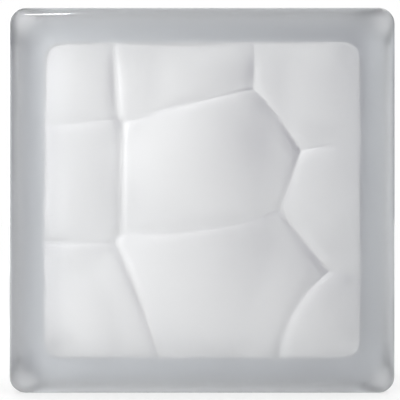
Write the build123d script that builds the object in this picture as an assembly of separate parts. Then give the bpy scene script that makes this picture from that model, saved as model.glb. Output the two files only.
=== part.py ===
"""Hollow glass block for a wall: two pressed halves fused along a middle seam into one sealed piece.

The block stands on the rims of its bottom side. X runs along its width, Y from the front face to the
back face, Z up its height, and the origin is the middle of its underside. Sizes are millimetres.
"""

import os

from build123d import *

# Outside of the block
block_width = 190.0
block_height = 190.0
block_depth = 80.0
corner_radius = 8.0  # corners of the two faces
rim_radius = 6.0  # rounding of each face's edge

# Mortar channel that runs round the four sides, between the two rims
rim_width = 12.0  # from a face to the start of its shoulder
channel_depth = 5.0
shoulder_width = 6.0  # slope from a rim down to the channel's floor
channel_corner_radius = 12.0
rim_back_radius = 1.5
channel_foot_radius = 4.0

# Seam where the halves are fused: a low bead of squeezed-out glass, outside and inside
seam_width = 6.0
seam_height = 0.7

# Hollow inside
wall_thickness = 8.0  # side wall beside the seam
face_thickness = 5.5  # face at its thinnest, in the middle of the deepest dish
wall_draft = 6.5  # degrees, so that the plunger comes out of the half
hollow_corner_radius = 10.0
hollow_end_radius = 6.0  # rounding from the walls into the wavy end

# Waves pressed into the inside of each face: round dishes with rounded ridges where they meet
wave_height = 3.0  # depth of the deepest dish
dish_radius = 250.0
ridge_radius = 4.0

# Each dish: place across and up, as shares of half the hollow, and its depth and radius, as shares of
# the wave height and the dish radius
dish_shares = (
    (-0.86, 0.82, 0.46, 1.0),
    (-0.12, 0.86, 0.72, 1.0),
    (0.74, 0.82, 0.43, 1.4),
    (-0.78, 0.26, 0.07, 1.0),
    (0.04, 0.24, 1.00, 0.95),
    (0.86, -0.04, 0.36, 1.0),
    (-0.73, -0.86, 0.56, 1.0),
    (0.20, -0.54, 0.80, 1.3),
    (0.74, -0.80, 0.72, 0.6),
)

half_depth = block_depth / 2
rim_level = half_depth - rim_width
foot_level = rim_level - shoulder_width
bead_level = seam_width / 2
crown_level = half_depth - face_thickness
channel_inset = 2 * channel_depth
hollow_inset = channel_inset + 2 * wall_thickness
bead_inset = 2 * seam_height


def outline(inset, radius, level):
    """Rounded rectangle of the block's face, made smaller by inset, at a level above the seam."""
    return Pos(0, 0, level) * RectangleRounded(block_width - inset, block_height - inset, radius)


def level_edges(body, level):
    """The edges of a body that lie at one level."""
    return body.edges().filter_by_position(Axis.Z, level, level)


def half_outside():
    """Outer form of one half, from the seam up to its face: bead, channel, shoulder and rim."""
    channel = extrude(outline(channel_inset, channel_corner_radius, 0), foot_level)
    shoulder_ends = [
        outline(channel_inset, channel_corner_radius, foot_level),
        outline(0, corner_radius, rim_level),
    ]
    rim = extrude(outline(0, corner_radius, rim_level), rim_width)
    body = channel + loft(shoulder_ends, ruled=True) + rim
    body = fillet(level_edges(body, half_depth), rim_radius)
    body = fillet(level_edges(body, rim_level), rim_back_radius)
    body = fillet(level_edges(body, foot_level), channel_foot_radius)
    bead_ends = [
        outline(channel_inset - bead_inset, channel_corner_radius, 0),
        outline(channel_inset, channel_corner_radius, bead_level),
    ]
    return body + loft(bead_ends, ruled=True)


def dish(across_share, up_share, depth_share, radius_share):
    """Ball whose crown presses one dish into the inside of the face."""
    radius = dish_radius * radius_share
    crown = crown_level - wave_height * (1 - depth_share)
    across = across_share * (block_width - hollow_inset) / 2
    up = up_share * (block_height - hollow_inset) / 2
    return Pos(across, up, crown - radius) * Rot(90, 0, 0) * Sphere(radius)


def half_hollow():
    """The space inside one half: drafted walls, narrowed by the bead, and a wavy end of dishes."""
    mouth = outline(hollow_inset, hollow_corner_radius, bead_level)
    space = extrude(mouth, crown_level - bead_level, taper=wall_draft)
    space = fillet(level_edges(space, crown_level), hollow_end_radius)
    ridges = space - [dish(*shares) for shares in dish_shares]
    space = space - ridges
    dishes = space.faces().filter_by(GeomType.SPHERE)
    ridge_edges = [edge for edge in space.edges() if sum(edge in dish.edges() for dish in dishes) == 2]
    space = fillet(ridge_edges, ridge_radius)
    bead_mouth = outline(hollow_inset + bead_inset, hollow_corner_radius, 0)
    return space + loft([bead_mouth, mouth], ruled=True)


def glass_block():
    """Both halves, the second turned over onto the first, fused and stood on the rims of one side."""
    half = half_outside() - half_hollow()
    block = half + Rot(0, 180, 0) * half
    return Pos(0, 0, block_height / 2) * Rot(90, 0, 0) * block


os.makedirs("parts", exist_ok=True)
export_step(glass_block(), "parts/glass_block.step")
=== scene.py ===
from math import cos, exp, log, pi, radians, sin, sqrt, tan

import bpy
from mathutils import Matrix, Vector


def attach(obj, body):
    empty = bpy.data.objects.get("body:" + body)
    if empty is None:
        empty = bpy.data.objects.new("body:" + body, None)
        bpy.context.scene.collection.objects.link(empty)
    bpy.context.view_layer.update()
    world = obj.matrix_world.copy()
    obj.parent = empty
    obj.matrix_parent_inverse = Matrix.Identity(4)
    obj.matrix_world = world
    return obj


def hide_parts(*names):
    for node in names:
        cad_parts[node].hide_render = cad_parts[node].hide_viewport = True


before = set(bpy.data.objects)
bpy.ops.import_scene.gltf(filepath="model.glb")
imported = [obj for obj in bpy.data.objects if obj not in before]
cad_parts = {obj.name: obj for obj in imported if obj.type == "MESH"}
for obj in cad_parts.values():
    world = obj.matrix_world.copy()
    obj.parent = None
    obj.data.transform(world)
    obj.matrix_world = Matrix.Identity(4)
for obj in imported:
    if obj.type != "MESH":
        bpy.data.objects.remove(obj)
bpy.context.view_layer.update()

mm = 0.001
tolerance = 0.02 * mm


# selecting and editing, as by hand

def deselectAll():
    bpy.ops.object.select_all(action="DESELECT")


def makeActive(obj):
    deselectAll()
    obj.select_set(True)
    bpy.context.view_layer.objects.active = obj


def editMode(obj):
    makeActive(obj)
    bpy.ops.object.mode_set(mode="EDIT")


def objectMode():
    bpy.ops.object.mode_set(mode="OBJECT")


def join(first, *others):
    makeActive(first)
    for obj in others:
        obj.select_set(True)
    bpy.ops.object.join()
    return first


def near(a, b):
    return abs(a - b) < tolerance


def pick(obj, kind, test):
    # in edit mode: picks the vertices, edges or faces whose corners pass the test
    bpy.ops.mesh.select_mode(type=kind)
    bpy.ops.mesh.select_all(action="DESELECT")
    objectMode()
    mesh = obj.data
    items = {"VERT": mesh.vertices, "EDGE": mesh.edges, "FACE": mesh.polygons}[kind]
    for item in items:
        ends = [item.index] if kind == "VERT" else item.vertices
        item.select = test([mesh.vertices[i].co for i in ends])
    bpy.ops.object.mode_set(mode="EDIT")


def atDepth(*levels):
    # a test for pick: every corner lies at one of these depths
    return lambda corners: all(any(near(p.y, level) for level in levels) for p in corners)


# shader nodes

def addMath(nodes, operation, kind="ShaderNodeMath"):
    node = nodes.new(kind)
    node.operation = operation
    return node


def addRange(nodes, fromSpan, toSpan=(0, 1), smooth=False):
    node = nodes.new("ShaderNodeMapRange")
    node.inputs["From Min"].default_value, node.inputs["From Max"].default_value = fromSpan
    node.inputs["To Min"].default_value, node.inputs["To Max"].default_value = toSpan
    if smooth:
        node.interpolation_type = "SMOOTHSTEP"
    return node


def addColorMix(nodes, upper):
    node = nodes.new("ShaderNodeMix")
    node.data_type = "RGBA"
    node.inputs["B"].default_value = upper
    return node


# the block's outside

block = {
    "width": 190 * mm,
    "depth": 80 * mm,
    "cornerRadius": 8 * mm,
    "cornerSteps": 10,
    "rimRadius": 6 * mm,
    "rimSteps": 10,
    "rimWidth": 12 * mm,
    "rimBackBevel": 0.6 * mm,
    "rimBackSteps": 4,
    "channelDepth": 5 * mm,
    "shoulderWidth": 6 * mm,
    "channelCornerRadius": 12 * mm,
    "footBevel": 1.5 * mm,
    "footSteps": 5,
    "seamWidth": 6 * mm,
    "seamHeight": 0.7 * mm,
    "seamBevel": 1.2 * mm,
    "seamSteps": 4,
    "bevelProfile": 0.5,  # round
    "smoothAngle": radians(40),
}
halfWidth = block["width"] / 2
halfDepth = block["depth"] / 2
middle = (0, 0, halfWidth)


def bevelPicked(offset, steps):
    profile = block["bevelProfile"]
    bpy.ops.mesh.bevel(offset=offset, offset_type="OFFSET", segments=steps, profile=profile)


def roundedSlab(name, size, corner, front, back):
    # a slab between two depths; the four edges that run from front to back are rounded
    deselectAll()
    bpy.ops.mesh.primitive_cube_add(size=1, location=(0, (front + back) / 2, middle[2]))
    slab = bpy.context.object
    slab.name = name
    slab.scale = (size, back - front, size)
    bpy.ops.object.transform_apply(location=True, rotation=True, scale=True)
    editMode(slab)
    pick(slab, "EDGE", lambda corners: not near(corners[0].y, corners[1].y))
    bevelPicked(corner, block["cornerSteps"])
    objectMode()
    return slab


def openEnd(slab, level):
    editMode(slab)
    pick(slab, "FACE", atDepth(level))
    bpy.ops.mesh.delete(type="FACE")
    objectMode()


def bevelLoop(shell, level, offset, steps):
    # rounds the edge loop that lies at one depth
    editMode(shell)
    pick(shell, "EDGE", atDepth(level))
    bevelPicked(offset, steps)
    objectMode()


def makeOutside():
    size = block["width"]
    webSize = size - 2 * block["channelDepth"]
    rimLevel = halfDepth - block["rimWidth"]
    footLevel = rimLevel - block["shoulderWidth"]
    shell = roundedSlab("outside", webSize, block["channelCornerRadius"], -footLevel, footLevel)
    frontRim = roundedSlab("frontRim", size, block["cornerRadius"], -halfDepth, -rimLevel)
    backRim = roundedSlab("backRim", size, block["cornerRadius"], rimLevel, halfDepth)
    openEnd(shell, -footLevel)
    openEnd(shell, footLevel)
    openEnd(frontRim, -rimLevel)
    openEnd(backRim, rimLevel)
    join(shell, frontRim, backRim)
    for side in (-1, 1):  # the shoulders, bridged from the rims to the channel
        editMode(shell)
        pick(shell, "EDGE", atDepth(side * rimLevel, side * footLevel))
        bpy.ops.mesh.bridge_edge_loops()
        objectMode()
    editMode(shell)
    for cut in (-1, 0, 1):  # the seam's bead
        pick(shell, "FACE", lambda corners: all(abs(p.y) < footLevel + tolerance for p in corners))
        level = cut * block["seamWidth"] / 2
        bpy.ops.mesh.bisect(plane_co=(0, level, 0), plane_no=(0, 1, 0))
    pick(shell, "VERT", atDepth(0))
    grow = 1 + 2 * block["seamHeight"] / webSize
    bpy.ops.transform.resize(value=(grow, 1, grow), center_override=middle)
    objectMode()
    bevelLoop(shell, 0, block["seamBevel"], block["seamSteps"])
    for side in (-1, 1):
        bevelLoop(shell, side * footLevel, block["footBevel"], block["footSteps"])
        bevelLoop(shell, side * rimLevel, block["rimBackBevel"], block["rimBackSteps"])
        bevelLoop(shell, side * halfDepth, block["rimRadius"], block["rimSteps"])
    print("outside", len(shell.data.polygons), "faces")
    return shell


# the hollow, with waves pressed into both ends

hollow = {
    "half": 82 * mm,  # at the seam
    "crown": 34.5 * mm,  # where the deepest dish reaches
    "draft": radians(6.5),
    "corner": 10 * mm,
    "cornerGrowth": 1.5,  # how late the rings turn from square to rounded
    "endRadius": 6 * mm,
    "waveHeight": 3 * mm,
    "dishRadius": 250 * mm,
    "ridgeSoftness": 0.15 * mm,
    "crestHeight": 1.6 * mm,  # narrow crests along the ridges
    "crestFade": 0.4 * mm,
    "steps": 210,  # faces across each end
    "flatRun": 0.84,  # share of the rings that lies on the end
    "bendRun": 0.92,  # and where its rounding meets the wall
    "waveRun": 0.97,  # and where the waves stop for certain
    "mergeDistance": 0.01 * mm,
}

# each dish: place across and up, as shares of half the hollow, then its depth and radius, also as shares
dishShares = (
    (-0.86, 0.82, 0.46, 1.0),
    (-0.12, 0.86, 0.72, 1.0),
    (0.74, 0.82, 0.43, 1.4),
    (-0.78, 0.26, 0.07, 1.0),
    (0.04, 0.24, 1.00, 0.95),
    (0.86, -0.04, 0.36, 1.0),
    (-0.73, -0.86, 0.56, 1.0),
    (0.20, -0.54, 0.80, 1.3),
    (0.74, -0.80, 0.72, 0.6),
)


def waveDepth(across, up):
    # depth of the dished end from the seam, with softened ridges and crests along them
    soft = hollow["ridgeSoftness"]
    depths = []
    for shareX, shareZ, deep, wide in dishShares:
        radius = hollow["dishRadius"] * wide
        dx = across - shareX * hollow["half"]
        dz = up - shareZ * hollow["half"]
        crown = hollow["crown"] - hollow["waveHeight"] * (1 - deep)
        fall = radius - sqrt(max(0, radius * radius - dx * dx - dz * dz))
        depths.append(crown - fall)
    top = max(depths)
    top = top + soft * log(sum(exp((d - top) / soft) for d in depths))
    crest = sum(exp((d - top) / hollow["crestFade"]) for d in depths) - 1
    return top - hollow["crestHeight"] * max(0, crest)


def ringPlace(run):
    # from the middle of the end (0) to the seam (1): half the ring's breadth, and its depth from the seam
    flat = hollow["flatRun"]
    bend = hollow["bendRun"]
    draft = tan(hollow["draft"])
    bead = block["seamWidth"] / 2
    radius = hollow["endRadius"]
    endHalf = hollow["half"] - (hollow["crown"] - bead) * draft
    inner = endHalf - radius
    if run <= flat:
        return inner * run / flat, hollow["crown"]
    turn = pi / 2 - hollow["draft"]
    if run <= bend:
        angle = turn * (run - flat) / (bend - flat)
        return inner + radius * sin(angle), hollow["crown"] - radius * (1 - cos(angle))
    low = hollow["crown"] - radius * (1 - cos(turn))
    wallTop = inner + radius * sin(turn)
    depth = low * (1 - (run - bend) / (1 - bend))
    if depth >= bead:
        return wallTop + (low - depth) * draft, depth
    edge = wallTop + (low - bead) * draft
    return edge - block["seamHeight"] * (1 - depth / bead), depth


def roundedPlace(half, corner, side):
    # point on a rounded square's right-hand side, side from -1 (lower corner) to 1 (upper corner)
    straight = half - corner
    arc = corner * pi / 4
    length = abs(side) * (straight + arc)
    sign = 1 if side >= 0 else -1
    if length <= straight:
        return half, sign * length
    angle = (length - straight) / corner if corner > 0 else 0
    return straight + corner * cos(angle), sign * (straight + corner * sin(angle))


def makeHalfHollow():
    # one half of the hollow's skin: a grid whose rings run from the end's middle down the walls to the seam
    deselectAll()
    steps = hollow["steps"]
    bpy.ops.mesh.primitive_grid_add(x_subdivisions=steps, y_subdivisions=steps, size=2, location=(0, 0, 0))
    skin = bpy.context.object
    skin.name = "hollow"
    for vertex in skin.data.vertices:
        u, v = vertex.co.x, vertex.co.y
        run = max(abs(u), abs(v))
        half, depth = ringPlace(run)
        corner = min(hollow["corner"] * run ** hollow["cornerGrowth"], half)
        if run == 0:
            across, up = 0, 0
        elif abs(u) >= abs(v):
            across, up = roundedPlace(half, corner, v / run)
            across = across if u > 0 else -across
        else:
            up, across = roundedPlace(half, corner, u / run)
            up = up if v > 0 else -up
        if run < hollow["waveRun"]:
            depth = min(depth, waveDepth(across, up))
        vertex.co = (across, -depth, middle[2] + up)
    return skin


def makeHollow():
    front = makeHalfHollow()
    makeActive(front)
    bpy.ops.object.duplicate()
    back = bpy.context.object
    editMode(back)
    bpy.ops.mesh.select_all(action="SELECT")
    bpy.ops.transform.rotate(value=pi, orient_axis="Z", center_override=(0, 0, 0))
    objectMode()
    skin = join(front, back)
    editMode(skin)
    bpy.ops.mesh.select_all(action="SELECT")
    bpy.ops.mesh.remove_doubles(threshold=hollow["mergeDistance"])
    bpy.ops.mesh.normals_make_consistent(inside=True)
    objectMode()
    print("hollow", len(skin.data.polygons), "faces")
    return skin


# glass

glass = {
    "color": (1, 1, 1, 1),
    "index": 1.5,
    "outerRoughness": (0.46, 0.54),  # satin etch, from its smoothest to its roughest spots
    "etchSpots": 140,  # spots to the metre
    "etchDetail": 6,
    "etchSpan": (0.3, 0.7),  # noise values between which the etch changes
    "innerRoughness": 0.1,
    "rimRoughness": 0.44,
    "rimShine": 0.06,  # roughness of the coat on the rims
    "rimInner": 7 * mm,  # from the block's edge in to where the rim's finish starts
    "rimOuter": 4 * mm,  # and to where it is full
    "absorbColor": (0.56, 0.595, 0.635, 1),
    "absorbDensity": 13.3,
}


def markSkin(obj, value):
    # one number over the whole skin: 0 on the outside, 1 in the hollow
    mark = obj.data.attributes.new("hollowSkin", "FLOAT", "POINT")
    for point in mark.data:
        point.value = value


def glassMaterial():
    material = bpy.data.materials.new("satinGlass")
    material.use_nodes = True
    nodes, links = material.node_tree.nodes, material.node_tree.links
    shader = nodes["Principled BSDF"]
    shader.inputs["Base Color"].default_value = glass["color"]
    shader.inputs["IOR"].default_value = glass["index"]
    shader.inputs["Transmission Weight"].default_value = 1
    place = nodes.new("ShaderNodeTexCoord")

    # the etch, in fine spots
    spots = nodes.new("ShaderNodeTexNoise")
    spots.inputs["Scale"].default_value = glass["etchSpots"]
    spots.inputs["Detail"].default_value = glass["etchDetail"]
    links.new(place.outputs["Object"], spots.inputs["Vector"])
    etch = addRange(nodes, glass["etchSpan"], glass["outerRoughness"])
    links.new(spots.outputs["Fac"], etch.inputs["Value"])

    # the rims, from how far out a point lies, across or up
    centred = addMath(nodes, "SUBTRACT", "ShaderNodeVectorMath")
    centred.inputs[1].default_value = middle
    links.new(place.outputs["Object"], centred.inputs[0])
    outward = addMath(nodes, "ABSOLUTE", "ShaderNodeVectorMath")
    links.new(centred.outputs["Vector"], outward.inputs[0])
    axes = nodes.new("ShaderNodeSeparateXYZ")
    links.new(outward.outputs["Vector"], axes.inputs["Vector"])
    farthest = addMath(nodes, "MAXIMUM")
    links.new(axes.outputs["X"], farthest.inputs[0])
    links.new(axes.outputs["Z"], farthest.inputs[1])
    rim = addRange(nodes, (halfWidth - glass["rimInner"], halfWidth - glass["rimOuter"]), smooth=True)
    links.new(farthest.outputs["Value"], rim.inputs["Value"])

    # etched outside, smoother and shiny on the rims; clearer in the hollow
    satin = nodes.new("ShaderNodeMix")
    satin.inputs["B"].default_value = glass["rimRoughness"]
    links.new(rim.outputs["Result"], satin.inputs["Factor"])
    links.new(etch.outputs["Result"], satin.inputs["A"])
    skin = nodes.new("ShaderNodeAttribute")
    skin.attribute_name = "hollowSkin"
    rough = addRange(nodes, (0, 1), (0, glass["innerRoughness"]))
    links.new(skin.outputs["Fac"], rough.inputs["Value"])
    links.new(satin.outputs["Result"], rough.inputs["To Min"])
    links.new(rough.outputs["Result"], shader.inputs["Roughness"])
    links.new(rim.outputs["Result"], shader.inputs["Coat Weight"])
    shader.inputs["Coat Roughness"].default_value = glass["rimShine"]

    # the tint, which grows with the thickness
    volume = nodes.new("ShaderNodeVolumeAbsorption")
    volume.inputs["Color"].default_value = glass["absorbColor"]
    volume.inputs["Density"].default_value = glass["absorbDensity"]
    links.new(volume.outputs["Volume"], nodes["Material Output"].inputs["Volume"])
    return material


satinGlass = glassMaterial()
outside = makeOutside()
inside = makeHollow()
for obj, value in ((outside, 0), (inside, 1)):
    obj.data.materials.append(satinGlass)
    markSkin(obj, value)
glassBlock = join(outside, inside)
glassBlock.name = "glassBlock"
makeActive(glassBlock)
bpy.ops.object.shade_smooth_by_angle(angle=block["smoothAngle"])
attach(glassBlock, "root")
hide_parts("glass_block")
print("block joined", len(glassBlock.data.polygons), "faces")


# light

sky = {
    "seen": (1, 1, 1, 1),  # what the camera sees
    "base": (1.03, 1.03, 1.03, 1),  # what lights the block, under the patches
}

# broad patches of the sky, each laid over the ones before it; from and to are cosines of the angle to it
skyPatches = {
    "back": {"tone": (0.35, 0.35, 0.35, 1), "towards": (0.12, 1, -0.12), "from": 0.9, "to": 1.0},
    "glow": {"tone": (1.25, 1.25, 1.25, 1), "towards": (-0.3, 0.8, 0.45), "from": 0.8, "to": 0.97},
    "shade": {"tone": (0.02, 0.01, 0.07, 1), "towards": (0.68, 0.71, -0.1), "from": 0.7, "to": 0.9},
    "corner": {"tone": (0.5, 0.5, 0.5, 1), "towards": (-0.75, 0.1, 0.65), "from": 0.5, "to": 0.8},
    "right": {"tone": (0.55, 0.55, 0.55, 1), "towards": (0.97, 0.2, -0.1), "from": 0.75, "to": 0.95},
    "above": {"tone": (0.4, 0.4, 0.4, 1), "towards": (0, -0.5, 0.87), "from": 0.75, "to": 0.95},
}

# softboxes, each with its breadth and height: a narrow strip high in front, a broad one as fill,
# and one close behind the block on the left
softboxes = {
    "key": {"from": (-0.29, -1.02, 1.3), "size": (0.012, 0.4), "power": 2.5},
    "fill": {"from": (-0.08, -1.2, 0.16), "size": (0.5, 0.5), "power": 0.3},
    "behind": {"from": (-0.25, 0.26, 0.2), "size": (0.2, 0.35), "power": 0.3},
}


def makeWorld():
    world = bpy.data.worlds.new("studio")
    bpy.context.scene.world = world
    world.use_nodes = True
    nodes, links = world.node_tree.nodes, world.node_tree.links
    place = nodes.new("ShaderNodeTexCoord")
    base = nodes.new("ShaderNodeRGB")
    base.outputs["Color"].default_value = sky["base"]
    tone = base.outputs["Color"]
    for patch in skyPatches.values():
        facing = addMath(nodes, "DOT_PRODUCT", "ShaderNodeVectorMath")
        facing.inputs[1].default_value = Vector(patch["towards"]).normalized()
        links.new(place.outputs["Generated"], facing.inputs[0])
        spread = addRange(nodes, (patch["from"], patch["to"]), smooth=True)
        links.new(facing.outputs["Value"], spread.inputs["Value"])
        mix = addColorMix(nodes, patch["tone"])
        links.new(spread.outputs["Result"], mix.inputs["Factor"])
        links.new(tone, mix.inputs["A"])
        tone = mix.outputs["Result"]
    rays = nodes.new("ShaderNodeLightPath")
    seen = addColorMix(nodes, sky["seen"])
    links.new(rays.outputs["Is Camera Ray"], seen.inputs["Factor"])
    links.new(tone, seen.inputs["A"])
    links.new(seen.outputs["Result"], nodes["Background"].inputs["Color"])


def makeSoftbox(name):
    settings = softboxes[name]
    deselectAll()
    bpy.ops.object.light_add(type="AREA", location=settings["from"])
    lamp = bpy.context.object
    lamp.name = name
    lamp.data.shape = "RECTANGLE"
    lamp.data.size, lamp.data.size_y = settings["size"]
    lamp.data.energy = settings["power"]
    lamp.visible_camera = False
    aim = Vector(middle) - Vector(settings["from"])
    lamp.rotation_euler = aim.to_track_quat("-Z", "Y").to_euler()


# floor

floorLook = {
    "size": 8,
    "color": (0.6, 0.6, 0.6, 1),
    "roughness": 0.9,
    "glow": (1, 1, 1, 1),
    "lift": 0.55,  # glow for the camera, which makes the floor white outside the block's shadow
    "liftThrough": 0.5,  # glow in reflections and through the glass
    "paintedShadeSpot": (0.28, 0.3, 0),  # painted shade: around here, behind on the right, that second glow fades out, so the block's lower right looks darker through the glass
    "paintedShadeReach": 0.5,
}


def floorMaterial():
    material = bpy.data.materials.new("paleFloor")
    material.use_nodes = True
    nodes, links = material.node_tree.nodes, material.node_tree.links
    shader = nodes["Principled BSDF"]
    shader.inputs["Base Color"].default_value = floorLook["color"]
    shader.inputs["Roughness"].default_value = floorLook["roughness"]
    shader.inputs["Emission Color"].default_value = floorLook["glow"]
    rays = nodes.new("ShaderNodeLightPath")
    reflected = addMath(nodes, "MAXIMUM")
    links.new(rays.outputs["Is Glossy Ray"], reflected.inputs[0])
    links.new(rays.outputs["Is Transmission Ray"], reflected.inputs[1])
    # painted shade: the glow in reflections and through the glass fades out around a spot behind the block
    # on the right
    place = nodes.new("ShaderNodeTexCoord")
    away = addMath(nodes, "DISTANCE", "ShaderNodeVectorMath")
    away.inputs[1].default_value = floorLook["paintedShadeSpot"]
    links.new(place.outputs["Object"], away.inputs[0])
    paintedShadeFade = addRange(nodes, (0, floorLook["paintedShadeReach"]), (0, floorLook["liftThrough"]), smooth=True)
    links.new(away.outputs["Value"], paintedShadeFade.inputs["Value"])
    through = addMath(nodes, "MULTIPLY")
    links.new(reflected.outputs["Value"], through.inputs[0])
    links.new(paintedShadeFade.outputs["Result"], through.inputs[1])
    lift = addMath(nodes, "MULTIPLY_ADD")
    lift.inputs[1].default_value = floorLook["lift"]
    links.new(rays.outputs["Is Camera Ray"], lift.inputs[0])
    links.new(through.outputs["Value"], lift.inputs[2])
    links.new(lift.outputs["Value"], shader.inputs["Emission Strength"])
    return material


def makeFloor():
    deselectAll()
    bpy.ops.mesh.primitive_plane_add(size=floorLook["size"], location=(0, 0, 0))
    floor = bpy.context.object
    floor.name = "floor"
    floor.data.materials.append(floorMaterial())


# camera

view = {
    "distance": 0.6,  # from the lens to the front face
    "pixels": 400,
    "blockPixels": 388.5,
    "centre": (202.0, 200.2),
    "sensor": 36,
    "clipStart": 0.01,
}


def makeCamera():
    pixel = block["width"] / view["blockPixels"]
    data = bpy.data.cameras.new("camera")
    camera = bpy.data.objects.new("camera", data)
    bpy.context.scene.collection.objects.link(camera)
    offX = (view["pixels"] / 2 - view["centre"][0]) * pixel
    offZ = (view["centre"][1] - view["pixels"] / 2) * pixel
    camera.location = (offX, -halfDepth - view["distance"], middle[2] + offZ)
    camera.rotation_euler = (pi / 2, 0, 0)
    data.sensor_width = view["sensor"]
    data.lens = view["sensor"] * view["distance"] / (view["pixels"] * pixel)
    data.clip_start = view["clipStart"]
    bpy.context.scene.camera = camera


makeWorld()
for name in softboxes:
    makeSoftbox(name)
makeCamera()
makeFloor()
bpy.context.scene.view_settings.view_transform = "Standard"
print("studio", len(softboxes), "softboxes")
